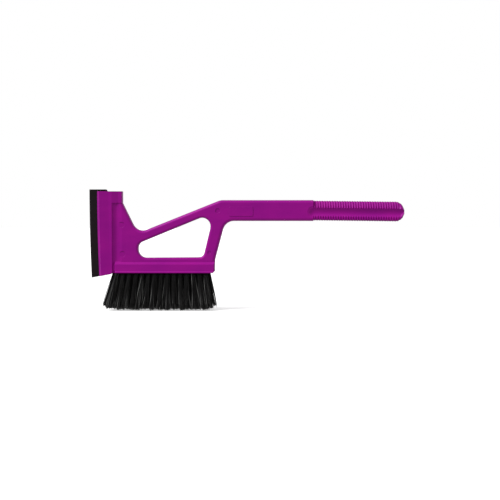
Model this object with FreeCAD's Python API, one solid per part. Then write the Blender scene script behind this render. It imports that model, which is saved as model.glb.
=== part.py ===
import FreeCAD, Part
import math
import os

# A one-hand windshield scraper: a moulded body with a rubber squeegee strip in its head and a brush
# of bristle tufts under its rail. All sizes are in millimetres.
# +X runs from the squeegee's lip to the end of the grip, +Z from the bristle tips up to the handle,
# and +Y is the side with the hard scraping blade. The origin is under the middle of the length, at
# the level of the bristle tips, in the body's middle plane.

# Whole object
LENGTH = 348.0
LIP_X = -LENGTH / 2
END_X = LENGTH / 2
TOP_Z = 134.0  # top end of the squeegee strip

# Body: frame plate and handle
PLATE_HALF = 6.0
PLATE_EDGE_R = 3.4
WINDOW_EDGE_R = 2.6
HANDLE_TOP = 122.1
HANDLE_BOTTOM = 99.1
GRIP_X = 74.0  # where the smooth handle steps down to the ribbed grip
WEB_HALF = 4.9  # half thickness of the web at the foot of the step
WEB_FADE_X = -137.5  # where the web has thickened to the whole plate

# Grip
RIB_PITCH = 2.775
RIB_COUNT = 34
RIB_DEPTH = 1.2
RIB_SHARE_Z = 0.35  # of the ribs' depth, how much of it they have on the grip's top and bottom
RIB_PROFILE = ((0.0, 1.0), (0.22, 0.15), (0.40, 0.0), (0.58, 0.15), (0.80, 1.0))  # (of pitch, of depth)
FIRST_RIB_GAP = 0.35
CREST_HALF_Y = 5.8
CREST_HALF_Z = 10.95
GRIP_DROOP = 1.2  # how far the end of the grip hangs below the line of the handle
GRIP_LOWER_R = 2.8
GRIP_TOP_SHARE = 0.17  # of the grip's thickness: the flat left on its top
GRIP_BULGE = 0.061  # how far the upper faces bulge, as a share of their width
GROOVE_HALF_Z = 5.0
GROOVE_DROP = 1.7  # how far the groove's middle lies below the grip's
GROOVE_FLOOR = 3.4  # half thickness left in the middle of the groove
GROOVE_R = (GROOVE_HALF_Z**2 + (CREST_HALF_Y - GROOVE_FLOOR) ** 2) / (2 * (CREST_HALF_Y - GROOVE_FLOOR))
GROOVE_LEAST_DEPTH = 0.3  # what is left of the groove at the grip's thinner end
GROOVE_TOP_SHARE = 0.35  # of half the grip's height: the highest that the groove reaches
ENTRY_RIM_R = 6.8  # the bevelled rim around the groove's scooped start in the handle
ENTRY_RIM_DEPTH = 0.6
SCOOP_GAP = 0.03  # how much smaller in radius the scoop is than the groove it meets
END_R = 9.4  # the grip's end, seen from the side
END_SHARE = 0.93  # how much of that round is made: the last of it is a small flat
END_THINNING = 0.35  # how much thinner the grip gets towards its end

# Head
HEAD_TOP = 131.8
JAW_TIP_X = LIP_X + 9.1
JAW_TIP_HALF = 4.6
JAW_BEVEL = 2.8
JAW_HALF = 8.8  # at the foot of the bevel, the widest part of the head
JAW_END_X = -151.3
BLADE_TIP_X = LIP_X + 2.6
BLADE_EDGE = 0.8  # thickness of the hard scraping blade's edge
BOW_R = 2300.0  # the lip, the jaws and the strip follow this arc in the XZ plane
BOW_SWEEP = 2.6  # degrees
LAND_HALF = 7.6
LAND_X = (-155.0, -148.4)
STEP_PROFILE = ((-147.2, 6.1), (-145.8, 5.3))  # (x, half thickness) on the way down to the web
WEB_X = -143.7  # foot of the step
EAR_X = -137.3
EAR_HALF = 6.05
EAR_BEND_X = -141.5  # the ear thins down to the plate between the land and here
EAR_Z = 119.0
EAR_EDGE_R = 1.0
BASE_SLOPE = 0.19  # rise per millimetre of the head's cut-off lower end
BASE_POINT = (-159.0, 38.55)
BASE_KNEE_X = -150.3  # from here the lower end rises more steeply to the rail's bottom
BASE_END_X = -148.3
HEAD_FOOT = 30.0  # below the sloping end, which trims the head
SUNK = 0.07  # how far the jaws' sides lie inside the land's

# Squeegee strip and its channel
STRIP_HALF = 1.5
STRIP_DEPTH = 19.9
LIP_EDGE_HALF = 0.6
LIP_TAPER = 1.6
FOOT_HALF = 2.8
FOOT_DEPTH = 3.0
STRIP_CORNER = 1.5
CHANNEL_GAP = 0.1

# Brush rail
RAIL_BOTTOM = 41.7
RAIL_HALF = 8.4
RAIL_LIP = 0.6
RAIL_LIP_TOP = (1.1, 1.9)  # heights over which the bottom lip fades into the rail's side
RAIL_SHOULDER = 51.2
RAIL_BEVEL = 3.9
RAIL_CORNER = 1.2
RAIL_X = (-145.3, -35.1)
RAIL_END_CHAMFER = 1.7

# Bristle tufts and their anchors
TUFT_PITCH = 6.9
MIDDLE_COUNT = 16
BRUSH_X = -94.15  # middle of the brush, at its roots
TIP_LEAN = -1.2  # how far the tips lean towards the head
ROW_Y = 5.0
ROOT_R = 2.1
TIP_R = 3.4
TIP_SPREAD_X = 1.14  # how much wider than at the roots the tips stand, along a row
TIP_ROW_Y = 8.2
HOLE_GAP = 0.1
HOLE_DEPTH = 9.5
ANCHOR = (5.4, 0.4, 1.8)  # length, thickness, height
ANCHOR_SLOT = 0.02
ANCHOR_COVER = 1.2  # from the top of an anchor to the closed end of its hole
ROOT_GAP = 0.3  # from a tuft's root to the closed end of its hole
END_RISE = 3.0  # how far the outermost tips stand above the middle ones
END_SHARE_OF_BRUSH = 0.2  # of half the brush, from each end, where the tips rise

# Small features
PIN_MARKS = ((-138.0, 94.9, 3.2), (-136.9, 62.6, 3.2), (-31.6, 110.4, 2.6), (-40.9, 64.3, 2.0))
PIN_MARK_DEPTH = 0.5
LABEL_X = (-19.1, 7.3)
LABEL_Z = (104.4, 114.8)
LABEL_RISE = 0.4
LABEL_THICKNESS = 2.0  # most of it sunk in the handle
LABEL_CORNER = 1.5


def vec(x, y, z):
    return FreeCAD.Vector(x, y, z)


def rounded_wire(corners):
    """A closed wire through (x, z, radius) corners in the plane y = 0, each rounded to its radius."""
    bends = []
    for index, (x, z, radius) in enumerate(corners):
        here = vec(x, 0, z)
        before = vec(corners[index - 1][0], 0, corners[index - 1][1])
        after = corners[(index + 1) % len(corners)]
        back = (before - here).normalize()
        ahead = (vec(after[0], 0, after[1]) - here).normalize()
        half = back.getAngle(ahead) / 2
        reach = radius / math.tan(half)
        inward = (back + ahead).normalize()
        middle = here + inward * (radius / math.sin(half) - radius)
        bends.append((here + back * reach, middle, here + ahead * reach, radius))
    edges = []
    for index, (start, middle, end, radius) in enumerate(bends):
        if radius > 0:
            edges.append(Part.Arc(start, middle, end).toShape())
        following = bends[(index + 1) % len(bends)][0]
        if (following - end).Length > 1e-6:
            edges.append(Part.LineSegment(end, following).toShape())
    return Part.Wire(edges)


def slab(corners, half):
    """The rounded outline, from -half to +half in y."""
    face = Part.Face(rounded_wire(corners))
    face.translate(vec(0, -half, 0))
    return face.extrude(vec(0, 2 * half, 0))


def closed(points):
    return Part.Face(Part.makePolygon(list(points) + [points[0]]))


def both_sides(points):
    """The points of a section on the +y side, followed by their mirror images back along -y."""
    return list(points) + [(a, -b) for a, b in reversed(points)]


def upright(section, low, high):
    """A prism along z from (x, y) points."""
    return closed([vec(x, y, low) for x, y in section]).extrude(vec(0, 0, high - low))


def lengthwise(section, start, end):
    """A prism along x from (y, z) points."""
    return closed([vec(start, y, z) for y, z in section]).extrude(vec(end - start, 0, 0))


def bowed(section):
    """A solid from (x, y) points at the head's top, carried down along the bow of the blade edge."""
    centre = vec(LIP_X + BOW_R, 0, TOP_Z)
    face = closed([vec(x, y, TOP_Z) for x, y in section])
    return face.revolve(centre, vec(0, -1, 0), BOW_SWEEP)


def base_z(x):
    """Height of the sloping lower end of the head at x."""
    return BASE_POINT[1] + BASE_SLOPE * (x - BASE_POINT[0])


def head_limits(top):
    """The space between the lower end of the head and a top level."""
    left = LIP_X - 5
    right = EAR_X + 5
    corners = [
        (left, top, 0),
        (right, top, 0),
        (right, RAIL_BOTTOM, 0),
        (BASE_END_X, RAIL_BOTTOM, 0),
        (BASE_KNEE_X, base_z(BASE_KNEE_X), 0),
        (left, base_z(left), 0),
    ]
    return slab(corners, JAW_HALF + 1)


def edges_at(shape, level):
    """The edges that lie wholly in the plane y = level."""
    found = []
    for edge in shape.Edges:
        box = edge.BoundBox
        if abs(box.YMin - level) < 1e-4 and abs(box.YMax - level) < 1e-4:
            found.append(edge)
    return found


def frame_plate():
    """Web, diagonal bar, right-hand bar and smooth handle, with rounded edges and the window."""
    sunk_x = -150.0
    sunk_z = 44.1
    outline = [
        (sunk_x, 125.0, 0),
        (-140.0, 125.0, 0),
        (-120.6, 85.3, 12),
        (-28.6, HANDLE_TOP, 14),
        (GRIP_X, HANDLE_TOP, 0),
        (GRIP_X, HANDLE_BOTTOM, 0),
        (-23.3, HANDLE_BOTTOM, 12.5),
        (-34.6, 56.5, 9),
        (-35.1, sunk_z, 0),
        (sunk_x, sunk_z, 0),
    ]
    window = [
        (-119.8, 74.2, 7.5),
        (-35.6, 108.8, 9.3),
        (-47.6, 58.9, 6.5),
        (-119.8, 58.4, 9),
    ]
    plate = slab(outline, PLATE_HALF)
    rims = edges_at(plate, PLATE_HALF) + edges_at(plate, -PLATE_HALF)
    rims = [e for e in rims if sunk_x + 1 < e.BoundBox.XMax and e.BoundBox.XMin < GRIP_X - 1]
    plate = plate.makeFillet(PLATE_EDGE_R, [e for e in rims if e.BoundBox.ZMax > sunk_z + 1])
    gap = slab(window, PLATE_HALF + 5)
    plate = plate.cut(gap)
    rims = edges_at(plate, PLATE_HALF) + edges_at(plate, -PLATE_HALF)
    window_rims = [edge for edge in rims if gap.BoundBox.isInside(edge.BoundBox)]
    return plate.makeFillet(WINDOW_EDGE_R, window_rims)


def web_half(x):
    """Half thickness of the web at x: thin at the foot of the step, whole at WEB_FADE_X."""
    share = (x - WEB_X) / (WEB_FADE_X - WEB_X)
    return WEB_HALF + (PLATE_HALF - WEB_HALF) * min(share, 1.0)


def web_slopes():
    """The wedges that thin the web towards the foot of the head's step, one on each face."""
    left = LAND_X[1] - 1
    outside = PLATE_HALF + 4
    section = [(left, web_half(left)), (WEB_FADE_X, PLATE_HALF), (WEB_FADE_X, outside), (left, outside)]
    wedge = upright(section, RAIL_SHOULDER, EAR_Z + 2)
    return wedge, wedge.mirror(vec(0, 0, 0), vec(0, 1, 0))


def head():
    """Jaws, scraping blade, land, ear and the step down to the web."""
    jaw_end = LAND_HALF - SUNK
    jaws = bowed(
        [
            (JAW_TIP_X, 0),
            (JAW_TIP_X, -JAW_TIP_HALF),
            (JAW_TIP_X + JAW_BEVEL, -JAW_HALF),
            (JAW_END_X, -jaw_end),
            (JAW_END_X, jaw_end),
            (JAW_TIP_X + JAW_BEVEL, JAW_HALF),
            (BLADE_TIP_X, STRIP_HALF + BLADE_EDGE),
            (BLADE_TIP_X, 0),
        ]
    )
    block = [(x, LAND_HALF) for x in LAND_X]
    land = upright(both_sides(block + list(STEP_PROFILE) + [(WEB_X, WEB_HALF)]), HEAD_FOOT, HEAD_TOP)
    ear = upright(both_sides(block + [(EAR_BEND_X, EAR_HALF), (EAR_X, EAR_HALF)]), EAR_Z, HEAD_TOP)
    corners = [e for e in ear.Edges if e.BoundBox.XMin > EAR_X - 1 and e.BoundBox.ZLength > 5]
    ear = ear.makeFillet(EAR_EDGE_R, corners)
    return jaws.fuse([land, ear]).common(head_limits(HEAD_TOP))


def channel():
    """The space for the strip and its wider foot."""
    inner = LIP_X + STRIP_DEPTH + CHANNEL_GAP
    neck = inner - FOOT_DEPTH - 2 * CHANNEL_GAP
    half = STRIP_HALF + CHANNEL_GAP
    foot = FOOT_HALF + CHANNEL_GAP
    return bowed(both_sides([(LIP_X - 3, half), (neck, half), (neck, foot), (inner, foot)]))


def rail():
    """The block that holds the tufts, with bevelled shoulders, a small bottom lip and a cut-off end."""
    left, right = RAIL_X
    wide = RAIL_HALF + RAIL_LIP
    top = RAIL_SHOULDER + RAIL_BEVEL
    half_section = [
        (wide, RAIL_BOTTOM),
        (wide, RAIL_BOTTOM + RAIL_LIP_TOP[0]),
        (RAIL_HALF, RAIL_BOTTOM + RAIL_LIP_TOP[1]),
        (RAIL_HALF, RAIL_SHOULDER),
        (RAIL_HALF - RAIL_BEVEL, top),
    ]
    mirrored = [(-y, z) for y, z in reversed(half_section)]
    bar = lengthwise(half_section + mirrored, left, right)
    cut = RAIL_END_CHAMFER
    plan = [(left, wide - RAIL_CORNER), (left + RAIL_CORNER, wide), (right - cut, wide), (right, wide - cut)]
    side = [
        (left, RAIL_BOTTOM, 0),
        (right - cut, RAIL_BOTTOM, 0),
        (right, RAIL_BOTTOM + cut, 0),
        (right, top, 0),
        (left, top, 0),
    ]
    return bar.common(upright(both_sides(plan), RAIL_BOTTOM, top)).common(slab(side, wide))


def groove_half(depth):
    """Half the height of the groove where it is cut depth deep; its section is part of a circle."""
    return math.sqrt(2 * GROOVE_R * depth - depth**2)


def grip_section(x, depth, squeeze):
    """A closed wire across the grip at x: depth below the crests, and squeeze times the full height."""
    y = (CREST_HALF_Y - depth) * (1 - END_THINNING * (1 - squeeze) ** 2)
    z = (CREST_HALF_Z - RIB_SHARE_Z * depth) * squeeze
    radius = min(GRIP_LOWER_R, 0.6 * y, 0.6 * z)
    shoulder = y - radius
    bend = radius * (1 - math.sqrt(0.5))
    floor = min(GROOVE_FLOOR, y - GROOVE_LEAST_DEPTH)
    reach = groove_half(y - floor)
    low = max(-reach - GROOVE_DROP * squeeze, radius - z + 0.1)
    high = min(reach - GROOVE_DROP * squeeze, GROOVE_TOP_SHARE * z)
    top = GRIP_TOP_SHARE * y
    bulge_y = (y + top) / 2 + GRIP_BULGE * (z - high)
    bulge_z = (high + z) / 2 + GRIP_BULGE * (y - top)
    half = [
        [(shoulder, -z), (y - bend, bend - z), (y, radius - z)],
        [(y, radius - z), (y, low)],
        [(y, low), (floor, (low + high) / 2), (y, high)],
        [(y, high), (bulge_y, bulge_z), (top, z)],
    ]
    mirrored = [[(-a, b) for a, b in reversed(segment)] for segment in reversed(half)]
    whole = half + [[(top, z), (-top, z)]] + mirrored + [[(-shoulder, -z), (shoulder, -z)]]
    droop = GRIP_DROOP * max(0.0, x - GRIP_X) / (END_X - GRIP_X)
    middle_z = (HANDLE_TOP + HANDLE_BOTTOM) / 2 - droop
    edges = []
    for segment in whole:
        points = [vec(x, a, middle_z + b) for a, b in segment]
        curve = Part.Arc(*points) if len(points) == 3 else Part.LineSegment(*points)
        edges.append(curve.toShape())
    return Part.Wire(edges)


def grip():
    """The ribbed grip, one loft through alternating valleys and crests, with a rounded end."""
    stations = [(GRIP_X - 0.5, RIB_DEPTH)]
    for rib in range(RIB_COUNT):
        start = GRIP_X + FIRST_RIB_GAP + rib * RIB_PITCH
        stations += [(start + along * RIB_PITCH, share * RIB_DEPTH) for along, share in RIB_PROFILE]
    last = stations[-1][0]
    smooth = (END_X - last) / 3
    stations += [(last + smooth, 0.5), (last + 2 * smooth, 0.5), (END_X, 0.9)]
    wires = []
    for x, depth in stations:
        along = max(0.0, (x - END_X + END_R) / END_R)
        wires.append(grip_section(x, depth, math.sqrt(1 - END_SHARE * along * along)))
    return Part.makeLoft(wires, True, True)


def groove_entries():
    """The round scoop that opens the groove into the handle's end, with a bevelled rim, on both faces."""
    middle_z = (HANDLE_TOP + HANDLE_BOTTOM) / 2 - GROOVE_DROP
    tools = []
    for side in (-1, 1):
        centre = vec(GRIP_X, side * (GROOVE_FLOOR + GROOVE_R), middle_z)
        tools.append(Part.makeSphere(GROOVE_R - SCOOP_GAP, centre))
        foot = vec(GRIP_X, side * (PLATE_HALF - ENTRY_RIM_DEPTH), middle_z)
        outward = vec(0, side, 0)
        tools.append(Part.makeCone(GROOVE_HALF_Z, ENTRY_RIM_R, ENTRY_RIM_DEPTH, foot, outward))
    return tools


def pin_marks():
    """Shallow round marks that the moulding pins leave on both faces."""
    discs = []
    for x, z, radius in PIN_MARKS:
        level = web_half(x)
        for side in (-1, 1):
            base = vec(x, side * (level - PIN_MARK_DEPTH), z)
            discs.append(Part.makeCylinder(radius, 2 * PIN_MARK_DEPTH, base, vec(0, side, 0)))
    return discs


def label_pad():
    """A blank raised pad for a label, on the -y face of the handle."""
    left, right = LABEL_X
    low, high = LABEL_Z
    corners = [(x, z, LABEL_CORNER) for x, z in ((left, low), (right, low), (right, high), (left, high))]
    pad = slab(corners, LABEL_THICKNESS / 2)
    pad.translate(vec(0, LABEL_THICKNESS / 2 - PLATE_HALF - LABEL_RISE, 0))
    return pad


def tuft_places():
    """(name, x, y) of every tuft's hole: 16 in the middle row, 15 in the staggered outer rows."""
    places = []
    for row, side in (("front", -1), ("middle", 0), ("back", 1)):
        count = MIDDLE_COUNT if side == 0 else MIDDLE_COUNT - 1
        first = BRUSH_X - TUFT_PITCH * (count - 1) / 2
        for index in range(count):
            name = f"{row}_{index + 1:02d}"
            places.append((name, first + index * TUFT_PITCH, side * ROW_Y))
    return places


def tip_height(x):
    """Height of a tuft's tip: level, but for the tufts near each end of the brush."""
    reach = abs(x - BRUSH_X) / (TUFT_PITCH * (MIDDLE_COUNT - 1) / 2)
    share = max(0.0, (reach - 1 + END_SHARE_OF_BRUSH) / END_SHARE_OF_BRUSH)
    return END_RISE * share**2


def anchor(x, y, grow):
    """The flat steel anchor across a hole, near its closed end, larger by grow on every side."""
    length, thickness, height = (size + 2 * grow for size in ANCHOR)
    bottom = RAIL_BOTTOM + HOLE_DEPTH - ANCHOR_COVER - ANCHOR[2] - grow
    return Part.makeBox(length, thickness, height, vec(x - length / 2, y - thickness / 2, bottom))


def tuft(x, y):
    """A bundle of bristles: a round root in its hole and a fan down to a wider tip."""
    root = Part.makeCylinder(ROOT_R, HOLE_DEPTH - ROOT_GAP, vec(x, y, RAIL_BOTTOM))
    tip_x = BRUSH_X + TIP_LEAN + (x - BRUSH_X) * TIP_SPREAD_X
    tip_y = y * TIP_ROW_Y / ROW_Y
    mouth = Part.Wire(Part.makeCircle(ROOT_R, vec(x, y, RAIL_BOTTOM), vec(0, 0, 1)))
    tip = Part.Wire(Part.makeCircle(TIP_R, vec(tip_x, tip_y, tip_height(x)), vec(0, 0, 1)))
    fan = Part.makeLoft([tip, mouth], True, True)
    return fan.fuse(root).removeSplitter().cut(anchor(x, y, ANCHOR_SLOT))


def body(places):
    plate = frame_plate().cut(web_slopes())
    whole = plate.fuse([head(), rail(), grip(), label_pad()])
    tools = [channel()] + groove_entries() + pin_marks()
    for _, x, y in places:
        tools.append(Part.makeCylinder(ROOT_R + HOLE_GAP, HOLE_DEPTH, vec(x, y, RAIL_BOTTOM)))
        tools.append(anchor(x, y, ANCHOR_SLOT))
    return whole.cut(tools).removeSplitter()


def squeegee_strip():
    """The rubber strip: a tapered lip, a flat web and a wider foot."""
    inner = LIP_X + STRIP_DEPTH
    neck = inner - FOOT_DEPTH
    section = both_sides(
        [
            (LIP_X, LIP_EDGE_HALF),
            (LIP_X + LIP_TAPER, STRIP_HALF),
            (neck, STRIP_HALF),
            (neck, FOOT_HALF),
            (inner, FOOT_HALF),
        ]
    )
    outside = inner + 1
    cut = [(inner - STRIP_CORNER, TOP_Z, 0), (outside, TOP_Z, 0), (outside, TOP_Z - STRIP_CORNER - 1, 0)]
    return bowed(section).common(head_limits(TOP_Z)).cut(slab(cut, FOOT_HALF + 1))


def main():
    os.makedirs("parts", exist_ok=True)
    places = tuft_places()
    nodes = {"body": body(places), "squeegee_strip": squeegee_strip()}
    for name, x, y in places:
        nodes["tuft_" + name] = tuft(x, y)
    for row in ("front", "middle", "back"):
        pieces = [anchor(x, y, 0.0) for name, x, y in places if name.startswith(row)]
        nodes["anchors_" + row] = Part.makeCompound(pieces)
    for name, shape in nodes.items():
        shape.exportStep(f"parts/{name}.step")
        print(f"{name}: {len(shape.Solids)} solids, valid {shape.isValid()}, {shape.Volume:.0f} mm3")


main()
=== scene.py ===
import math
import random

import bpy
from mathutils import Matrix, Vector


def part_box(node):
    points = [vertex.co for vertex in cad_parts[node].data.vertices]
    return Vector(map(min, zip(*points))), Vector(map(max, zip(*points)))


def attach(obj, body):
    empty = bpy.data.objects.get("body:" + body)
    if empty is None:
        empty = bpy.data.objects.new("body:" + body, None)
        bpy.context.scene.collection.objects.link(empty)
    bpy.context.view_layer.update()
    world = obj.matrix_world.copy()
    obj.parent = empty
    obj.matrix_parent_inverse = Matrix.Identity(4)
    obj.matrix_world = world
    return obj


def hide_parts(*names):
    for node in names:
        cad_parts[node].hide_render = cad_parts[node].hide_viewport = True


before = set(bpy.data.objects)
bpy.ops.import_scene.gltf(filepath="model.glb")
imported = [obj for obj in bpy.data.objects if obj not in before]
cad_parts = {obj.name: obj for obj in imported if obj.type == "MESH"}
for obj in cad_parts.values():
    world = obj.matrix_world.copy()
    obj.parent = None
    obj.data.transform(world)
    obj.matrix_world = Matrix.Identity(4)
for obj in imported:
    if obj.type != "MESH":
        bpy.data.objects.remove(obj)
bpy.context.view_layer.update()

# A one-hand windshield scraper with a squeegee strip and a snow brush, dressed over its CAD frame.
# Everything is in metres, in the CAD model's own axes: +X to the end of the grip, +Z up, and -Y
# towards the main camera.

MM = 0.001
END_SLICE = 0.2 * MM  # a CAD tuft's vertices this near to its end belong to the end

# Bristles
SHEAVES_PER_TUFT = 14  # a tuft's strands keep together in small sheaves
STRANDS_PER_SHEAF = 7
SHEAF_ROOT_RADIUS = 0.45 * MM
SHEAF_TIP_RADIUS = 0.75 * MM
STRAND_RADIUS = 0.17 * MM
STRAND_RADIUS_RANGE = (0.85, 1.2)  # share of the radius
STRAND_RINGS = 8
STRAND_SIDES = 4
STRAND_IN_HOLE = 3.0 * MM
STRAND_END_TAPER = 0.7
ANCHOR_HEIGHT = 6.5 * MM  # from the rail's underside up to the anchors' lower edges
PAINTED_GLINT_SHARE = 0.14  # thicker strands, painted pale as highlights where light would catch them
PALE_RADIUS = 0.22 * MM
PALE_RADIUS_RANGE = (0.8, 1.15)
STRAY_SHARE = 0.05
FLARE = 3.2 * MM  # how much further out the tips of the tufts nearest the head lean
FLARE_POWER = 12  # the higher it is, the fewer tufts lean so
TIP_LIFT = 1.9 * MM  # most strands are this much shorter than their tuft
LEAST_TIP_HEIGHT = 0.1 * MM

# Random spreads in millimetres: along the brush, across it, and in height
TUFT_SPREAD = (0.6, 0.4, 0.3)
SHEAF_SPREAD = (1.0, 1.5, 0.45)
SHEAF_BOW = (0.6, 0.4, 0.0)
STRAND_SPREAD = (0.25, 0.5, 0.4)
STRAND_BOW = (0.25, 0.2, 0.0)
PALE_SPREAD = (1.3, 0.6, 0.0)
STRAY_SPREAD = (2.4, 1.4, 0.9)

# Shades of the strands, from 0 (black) to 1 (pale): random tone, and at the pale end painted highlights
SHEAF_SHADE = 0.2
STRAND_SHADE = 0.4
PAINTED_GLINT_SHADES = (0.7, 1.0)
GLINT_PLACE = (0.1, 1.1, 0.95)  # where a strand's painted highlight is palest: lowest, highest and most likely place, mostly low down, where more light falls
GLINT_WIDTH = 0.35
GLINT_BASE = 0.3

# Studio
CAMERA_AZIMUTH = 1.0
CAMERA_ELEVATION = 2.0
CAMERA_DISTANCE = 1.2
FRAME_WIDTH = 0.5541  # width of the view in the object's middle plane
SENSOR_WIDTH = 36.0
AIM = Vector((4.0 * MM, 0.0, 66.9 * MM))
SUN_FROM = Vector((-0.60, -0.35, 0.72))
SUN_STRENGTH = 2.9
SUN_WIDTH = 28.0
AMBIENT = 0.55
FLOOR_SIZE = 12.0

random.seed(16)


# ---------------------------------------------------------------------------------------------------
# Materials
# ---------------------------------------------------------------------------------------------------


class Shader:
    """A node material with one Principled shader and a few helpers to build it."""

    def __init__(self, name):
        self.material = bpy.data.materials.new(name)
        self.material.use_nodes = True
        self.nodes = self.material.node_tree.nodes
        self.links = self.material.node_tree.links
        self.surface = self.nodes["Principled BSDF"]
        self.place = self.nodes.new("ShaderNodeTexCoord").outputs["Object"]

    def noise(self, scale, detail=3.0, stretch=(1, 1, 1), roughness=0.55):
        """Noise in object space, squeezed along an axis where stretch is over 1."""
        mapping = self.nodes.new("ShaderNodeMapping")
        mapping.inputs["Scale"].default_value = stretch
        self.links.new(self.place, mapping.inputs["Vector"])
        node = self.nodes.new("ShaderNodeTexNoise")
        node.inputs["Scale"].default_value = scale
        node.inputs["Detail"].default_value = detail
        node.inputs["Roughness"].default_value = roughness
        self.links.new(mapping.outputs["Vector"], node.inputs["Vector"])
        return node.outputs["Fac"]

    def ramp(self, factor, stops):
        """A colour ramp through (position, colour) stops."""
        node = self.nodes.new("ShaderNodeValToRGB")
        elements = node.color_ramp.elements
        while len(elements) < len(stops):
            elements.new(0.5)
        for element, (position, colour) in zip(elements, stops):
            element.position = position
            element.color = (*colour, 1.0)
        self.links.new(factor, node.inputs["Fac"])
        return node.outputs["Color"]

    def spread(self, factor, low, high):
        """The factor carried from 0..1 to low..high."""
        node = self.nodes.new("ShaderNodeMapRange")
        node.inputs["To Min"].default_value = low
        node.inputs["To Max"].default_value = high
        self.links.new(factor, node.inputs["Value"])
        return node.outputs["Result"]

    def multiply(self, first, second):
        """The product of two value sockets."""
        node = self.nodes.new("ShaderNodeMath")
        node.operation = "MULTIPLY"
        self.links.new(first, node.inputs[0])
        self.links.new(second, node.inputs[1])
        return node.outputs["Value"]

    def mix(self, factor, first, second, blend="MIX"):
        """Two colours mixed; a factor, first or second is a socket or a plain value."""
        node = self.nodes.new("ShaderNodeMix")
        node.data_type = "RGBA"
        node.blend_type = blend
        for key, value in (("Factor", factor), ("A", first), ("B", second)):
            socket = [s for s in node.inputs if s.name == key and s.enabled][0]
            if isinstance(value, bpy.types.NodeSocket):
                self.links.new(value, socket)
            elif key == "Factor":
                socket.default_value = value
            else:
                socket.default_value = (*value, 1.0)
        return [s for s in node.outputs if s.enabled][0]

    def bump(self, height, distance, strength=1.0, under=None):
        """A normal bumped by a height socket, over the normal under it."""
        node = self.nodes.new("ShaderNodeBump")
        node.inputs["Strength"].default_value = strength
        node.inputs["Distance"].default_value = distance
        self.links.new(height, node.inputs["Height"])
        if under is not None:
            self.links.new(under, node.inputs["Normal"])
        return node.outputs["Normal"]

    def rounded_edges(self, radius):
        """A normal that rolls over sharp edges within radius."""
        node = self.nodes.new("ShaderNodeBevel")
        node.samples = 6
        node.inputs["Radius"].default_value = radius
        return node.outputs["Normal"]

    def edge_mask(self, rounded, gain):
        """Near 1 along sharp edges and 0 on open faces."""
        geometry = self.nodes.new("ShaderNodeNewGeometry")
        dot = self.nodes.new("ShaderNodeVectorMath")
        dot.operation = "DOT_PRODUCT"
        self.links.new(rounded, dot.inputs[0])
        self.links.new(geometry.outputs["Normal"], dot.inputs[1])
        node = self.nodes.new("ShaderNodeMapRange")
        node.inputs["From Min"].default_value = 1.0
        node.inputs["From Max"].default_value = 1.0 - gain
        self.links.new(dot.outputs["Value"], node.inputs["Value"])
        return node.outputs["Result"]

    def set(self, **values):
        """Constants and links on the Principled shader; underscores stand for spaces."""
        for key, value in values.items():
            socket = self.surface.inputs[key.replace("_", " ")]
            if isinstance(value, bpy.types.NodeSocket):
                self.links.new(value, socket)
            elif isinstance(value, tuple) and len(value) == 3 and socket.type == "RGBA":
                socket.default_value = (*value, 1.0)
            else:
                socket.default_value = value
        return self.material


def moulded_plastic():
    """Satin moulded polypropylene, with faint flow marks, fine grain and paler worn edges."""
    s = Shader("moulded_plastic")
    rounded = s.rounded_edges(0.4 * MM)
    flow = s.ramp(
        s.noise(26, 4, stretch=(1, 1, 2.2)),
        [(0.30, (0.252, 0.0010, 0.210)), (0.52, (0.286, 0.0017, 0.225)), (0.74, (0.322, 0.0026, 0.238))],
    )
    speckle = s.ramp(s.noise(2600, 2), [(0.35, (0.95, 0.95, 0.95)), (0.65, (1.04, 1.04, 1.04))])
    grained = s.mix(1.0, flow, speckle, "MULTIPLY")
    scuffs = s.noise(420, 5, stretch=(1, 1, 0.25), roughness=0.7)
    worn = s.multiply(s.edge_mask(rounded, 0.25), s.spread(scuffs, -0.25, 0.8))
    colour = s.mix(worn, grained, (0.36, 0.020, 0.30))
    grain = s.bump(s.noise(1500, 3), 0.05 * MM, 0.4, under=rounded)
    waves = s.bump(s.noise(60, 2), 0.3 * MM, 0.2, under=grain)
    return s.set(
        Base_Color=colour,
        Roughness=s.spread(s.noise(180, 4), 0.34, 0.48),
        Normal=waves,
        IOR=1.49,
        Specular_IOR_Level=0.5,
        Specular_Tint=(1.0, 0.24, 0.90),
    )


def strip_rubber():
    """Matt black rubber with a fine drag grain along the lip and a little dust."""
    s = Shader("strip_rubber")
    dust = s.noise(240, 5, roughness=0.7)
    colour = s.ramp(
        dust,
        [(0.40, (0.0050, 0.0012, 0.0030)), (0.62, (0.0074, 0.0026, 0.0048)), (0.80, (0.016, 0.012, 0.014))],
    )
    drag = s.noise(900, 3, stretch=(1, 1, 0.06))
    rounded = s.rounded_edges(0.25 * MM)
    grain = s.bump(s.noise(2200, 2), 0.04 * MM, 0.6, under=rounded)
    return s.set(
        Base_Color=colour,
        Roughness=s.spread(s.noise(300, 3), 0.50, 0.70),
        Normal=s.bump(drag, 0.05 * MM, 0.5, under=grain),
        Specular_IOR_Level=0.18,
    )


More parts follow.
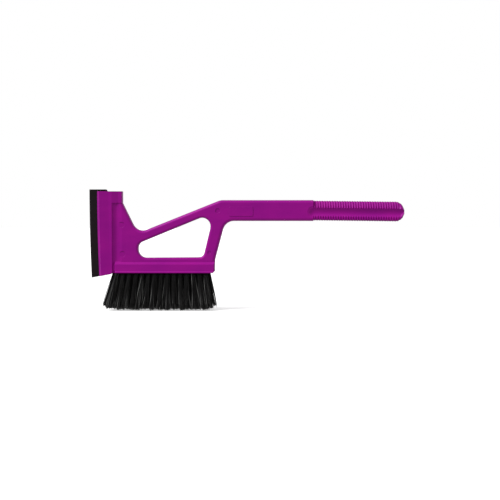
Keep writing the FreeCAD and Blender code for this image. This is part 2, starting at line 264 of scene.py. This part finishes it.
def bristle_plastic():
    """Black extruded bristle: each strand has its own tone, partly random and partly painted highlight (pale
    strands and pale glints along them), and a fine lengthwise grain.
    """
    s = Shader("bristle_plastic")
    shade = s.nodes.new("ShaderNodeAttribute")
    shade.attribute_name = "shade"
    black = (0.0045, 0.0042, 0.0044)
    dark = (0.0120, 0.0114, 0.0114)
    grey = (0.055, 0.055, 0.055)
    # The palest stop is a painted highlight: the colour of strands painted light where light would glint on
    # them.
    painted_glint_colour = (0.21, 0.21, 0.205)
    strand = s.ramp(shade.outputs["Fac"], [(0.05, black), (0.40, dark), (0.65, grey), (0.95, painted_glint_colour)])
    grain = s.noise(1800, 2, stretch=(1, 1, 0.08))
    mottled = s.ramp(grain, [(0.3, (0.8, 0.8, 0.8)), (0.7, (1.15, 1.15, 1.15))])
    return s.set(
        Base_Color=s.mix(1.0, strand, mottled, "MULTIPLY"),
        Roughness=s.spread(grain, 0.32, 0.48),
        Normal=s.bump(grain, 0.02 * MM, 0.4),
        Specular_IOR_Level=0.25,
    )


def anchor_steel():
    """Drawn flat steel wire, with marks along its length."""
    s = Shader("anchor_steel")
    drawn = s.noise(1200, 4, stretch=(0.1, 1, 1))
    return s.set(
        Base_Color=s.ramp(drawn, [(0.3, (0.42, 0.42, 0.44)), (0.7, (0.62, 0.62, 0.63))]),
        Metallic=1.0,
        Roughness=s.spread(drawn, 0.25, 0.45),
        Normal=s.bump(drawn, 0.02 * MM, 0.5),
    )


def studio_floor():
    """A plain pale floor with a barely visible mottle, lit a little from below like a light table."""
    s = Shader("studio_floor")
    tone = s.noise(3, 3)
    return s.set(
        Base_Color=s.ramp(tone, [(0.3, (0.80, 0.80, 0.80)), (0.7, (0.84, 0.84, 0.84))]),
        Roughness=s.spread(tone, 0.7, 0.8),
        Specular_IOR_Level=0.2,
        Emission_Color=(1.0, 1.0, 1.0),
        Emission_Strength=0.42,
    )


# ---------------------------------------------------------------------------------------------------
# Pieces
# ---------------------------------------------------------------------------------------------------


def paint_node(name, material):
    """Gives a carried-over CAD node its finished material."""
    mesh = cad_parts[name].data
    mesh.materials.clear()
    mesh.materials.append(material)


def new_mesh(name, vertices, faces, material, smooth=True):
    """A new object in the scene, from its vertices and faces."""
    mesh = bpy.data.meshes.new(name)
    mesh.from_pydata(vertices, [], faces)
    mesh.materials.append(material)
    mesh.polygons.foreach_set("use_smooth", [smooth] * len(mesh.polygons))
    mesh.update()
    piece = bpy.data.objects.new(name, mesh)
    bpy.context.scene.collection.objects.link(piece)
    return piece


def tuft_ends(name):
    """Centre and radius of a CAD tuft's root and tip, from the vertices at its two ends."""
    low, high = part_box(name)
    points = [v.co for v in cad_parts[name].data.vertices]
    ends = []
    for level in (high.z, low.z):
        ring = [p for p in points if abs(p.z - level) < END_SLICE]
        spans = [(min(p[i] for p in ring), max(p[i] for p in ring)) for i in (0, 1)]
        centre = Vector(((spans[0][0] + spans[0][1]) / 2, (spans[1][0] + spans[1][1]) / 2, level))
        ends.append((centre, (spans[0][1] - spans[0][0]) / 2))
    return ends


def strand_line(start, end, bow):
    """Points from a strand's root to its tip, with a small sideways bow."""
    points = []
    for ring in range(STRAND_RINGS):
        t = ring / (STRAND_RINGS - 1)
        points.append(start.lerp(end, t) + bow * math.sin(math.pi * t) * t)
    return points


def glint(place, middle):
    """How much of a strand's paleness shows at a place along it, from 0 to 1: a painted highlight, strongest
    at its glint's middle.
    """
    return GLINT_BASE + (1 - GLINT_BASE) * math.exp(-(((place - middle) / GLINT_WIDTH) ** 2))


def add_strand(vertices, faces, shades, line, radius, shade):
    """A thin closed tube along a line, added to the lists of a tuft's mesh."""
    first = len(vertices)
    bright_place = random.triangular(*GLINT_PLACE)
    for ring, point in enumerate(line):
        ahead = line[min(ring + 1, len(line) - 1)] - line[max(ring - 1, 0)]
        side = ahead.cross(Vector((0, 1, 0))).normalized()
        other = ahead.cross(side).normalized()
        taper = 1.0 if ring < len(line) - 1 else STRAND_END_TAPER
        for k in range(STRAND_SIDES):
            angle = 2 * math.pi * k / STRAND_SIDES
            offset = side * math.cos(angle) + other * math.sin(angle)
            vertices.append(point + offset * radius * taper)
            # Painted highlight along the strand: its tone is palest round one place.
            shades.append(shade * glint(ring / (len(line) - 1), bright_place))
    for ring in range(len(line) - 1):
        for k in range(STRAND_SIDES):
            a = first + ring * STRAND_SIDES + k
            b = first + ring * STRAND_SIDES + (k + 1) % STRAND_SIDES
            faces.append((a, b, b + STRAND_SIDES, a + STRAND_SIDES))
    faces.append(tuple(first + k for k in reversed(range(STRAND_SIDES))))
    last = first + (len(line) - 1) * STRAND_SIDES
    faces.append(tuple(last + k for k in range(STRAND_SIDES)))


def disc_point(index, count, radius):
    """Point number index of count, spread evenly over a disc."""
    turn = index * math.pi * (3 - math.sqrt(5))
    reach = radius * math.sqrt((index + 0.5) / count)
    return Vector((reach * math.cos(turn), reach * math.sin(turn), 0))


def scatter(spread):
    """A random shift with a given spread."""
    along, across, up = spread
    return Vector((random.gauss(0, along), random.gauss(0, across), random.gauss(0, up))) * MM


def flare(x, low_x, high_x):
    """The further lean of a tuft whose tip is at x, in a brush that runs from low_x to high_x."""
    return Vector((-FLARE * ((high_x - x) / (high_x - low_x)) ** FLARE_POWER, 0, 0))


def strand_tip(sheaf_tip, place, paleness):
    """Tip, radius and shade of a strand at a place in its sheaf."""
    end = sheaf_tip + place * SHEAF_TIP_RADIUS + scatter(STRAND_SPREAD)
    radius = STRAND_RADIUS * random.uniform(*STRAND_RADIUS_RANGE)
    shade = SHEAF_SHADE * paleness + STRAND_SHADE * random.random() ** 2
    # Painted highlight: some strands are drawn thicker and painted pale, standing in for light glinting on
    # them.
    if random.random() < PAINTED_GLINT_SHARE:
        radius = PALE_RADIUS * random.uniform(*PALE_RADIUS_RANGE)
        shade = random.uniform(*PAINTED_GLINT_SHADES)
        end += scatter(PALE_SPREAD)
    if random.random() < STRAY_SHARE:
        end += scatter(STRAY_SPREAD)
    end.z = max(LEAST_TIP_HEIGHT, end.z + TIP_LIFT)
    return end, radius, shade


def bristle_tuft(name, rail_bottom, low_x, high_x, material):
    """A bundle of loose bristles in the place of a CAD tuft: packed in its hole, fanned at its tips."""
    (root, root_radius), (tip, tip_radius) = tuft_ends(name)
    mouth = Vector((root.x, root.y, rail_bottom))
    vertices, faces, shades = [], [], []
    middle = tip + scatter(TUFT_SPREAD) + flare(tip.x, low_x, high_x)
    for sheaf in range(SHEAVES_PER_TUFT):
        packed = disc_point(sheaf, SHEAVES_PER_TUFT, root_radius - SHEAF_ROOT_RADIUS)
        fanned = packed * ((tip_radius - SHEAF_TIP_RADIUS) / (root_radius - SHEAF_ROOT_RADIUS))
        sheaf_tip = middle + fanned + scatter(SHEAF_SPREAD)
        sheaf_bow = scatter(SHEAF_BOW)
        # A sheaf's paleness: random tone, and partly a painted highlight on the whole clump.
        paleness = random.random() ** 2
        for index in range(STRANDS_PER_SHEAF):
            place = disc_point(index, STRANDS_PER_SHEAF, 1.0)
            start = mouth + packed + place * SHEAF_ROOT_RADIUS + Vector((0, 0, STRAND_IN_HOLE))
            end, radius, shade = strand_tip(sheaf_tip, place, paleness)
            line = strand_line(start, end, sheaf_bow + scatter(STRAND_BOW))
            add_strand(vertices, faces, shades, line, radius, shade)
    piece = new_mesh("bristles_" + name.removeprefix("tuft_"), vertices, faces, material)
    attribute = piece.data.attributes.new("shade", "FLOAT", "POINT")
    attribute.data.foreach_set("value", shades)
    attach(piece, "root")
    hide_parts(name)
    return piece


def brush(material):
    """Every CAD tuft's bundle of loose bristles."""
    anchors_low = min(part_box(name)[0].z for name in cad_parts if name.startswith("anchors_"))
    tufts = sorted(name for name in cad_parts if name.startswith("tuft_"))
    low_x = min(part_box(name)[0].x for name in tufts)
    high_x = max(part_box(name)[1].x for name in tufts)
    for name in tufts:
        bristle_tuft(name, anchors_low - ANCHOR_HEIGHT, low_x, high_x, material)


# ---------------------------------------------------------------------------------------------------
# Studio
# ---------------------------------------------------------------------------------------------------


def floor():
    """A plain pale floor. It takes shadows, but throws no light back up at the object."""
    half = FLOOR_SIZE / 2
    corners = [(-half, -half, 0), (half, -half, 0), (half, half, 0), (-half, half, 0)]
    piece = new_mesh("studio_floor", corners, [(0, 1, 2, 3)], studio_floor(), smooth=False)
    piece.visible_diffuse = False
    piece.visible_glossy = False


def soft_sun():
    """A wide soft light from the upper left, a little to the front."""
    data = bpy.data.lights.new("soft_sun", "SUN")
    data.energy = SUN_STRENGTH
    data.angle = math.radians(SUN_WIDTH)
    lamp = bpy.data.objects.new("soft_sun", data)
    lamp.rotation_mode = "QUATERNION"
    lamp.rotation_quaternion = (-SUN_FROM).to_track_quat("-Z", "Y")
    bpy.context.scene.collection.objects.link(lamp)


def studio_world():
    """A white surround, seen at full strength and lighting the object with less."""
    world = bpy.data.worlds.new("studio_world")
    bpy.context.scene.world = world
    world.use_nodes = True
    nodes = world.node_tree.nodes
    links = world.node_tree.links
    lighting = nodes["Background"]
    lighting.inputs["Color"].default_value = (1.0, 1.0, 1.0, 1.0)
    lighting.inputs["Strength"].default_value = AMBIENT
    seen = nodes.new("ShaderNodeBackground")
    seen.inputs["Color"].default_value = (1.0, 1.0, 1.0, 1.0)
    mix = nodes.new("ShaderNodeMixShader")
    links.new(nodes.new("ShaderNodeLightPath").outputs["Is Camera Ray"], mix.inputs["Fac"])
    links.new(lighting.outputs["Background"], mix.inputs[1])
    links.new(seen.outputs["Background"], mix.inputs[2])
    links.new(mix.outputs["Shader"], nodes["World Output"].inputs["Surface"])


def camera():
    """A long lens at the object's near side, a little to the right and above."""
    data = bpy.data.cameras.new("camera")
    data.sensor_width = SENSOR_WIDTH
    data.lens = SENSOR_WIDTH * CAMERA_DISTANCE / FRAME_WIDTH
    data.clip_end = 100
    azimuth = math.radians(CAMERA_AZIMUTH)
    elevation = math.radians(CAMERA_ELEVATION)
    back = Vector(
        (
            math.sin(azimuth) * math.cos(elevation),
            -math.cos(azimuth) * math.cos(elevation),
            math.sin(elevation),
        )
    )
    eye = bpy.data.objects.new("camera", data)
    eye.location = AIM + back * CAMERA_DISTANCE
    eye.rotation_mode = "QUATERNION"
    eye.rotation_quaternion = (-back).to_track_quat("-Z", "Y")
    bpy.context.scene.collection.objects.link(eye)
    bpy.context.scene.camera = eye


bpy.context.scene.view_settings.view_transform = "Standard"
paint_node("body", moulded_plastic())
paint_node("squeegee_strip", strip_rubber())
steel = anchor_steel()
for row in ("front", "middle", "back"):
    paint_node("anchors_" + row, steel)
brush(bristle_plastic())
floor()
soft_sun()
studio_world()
camera()
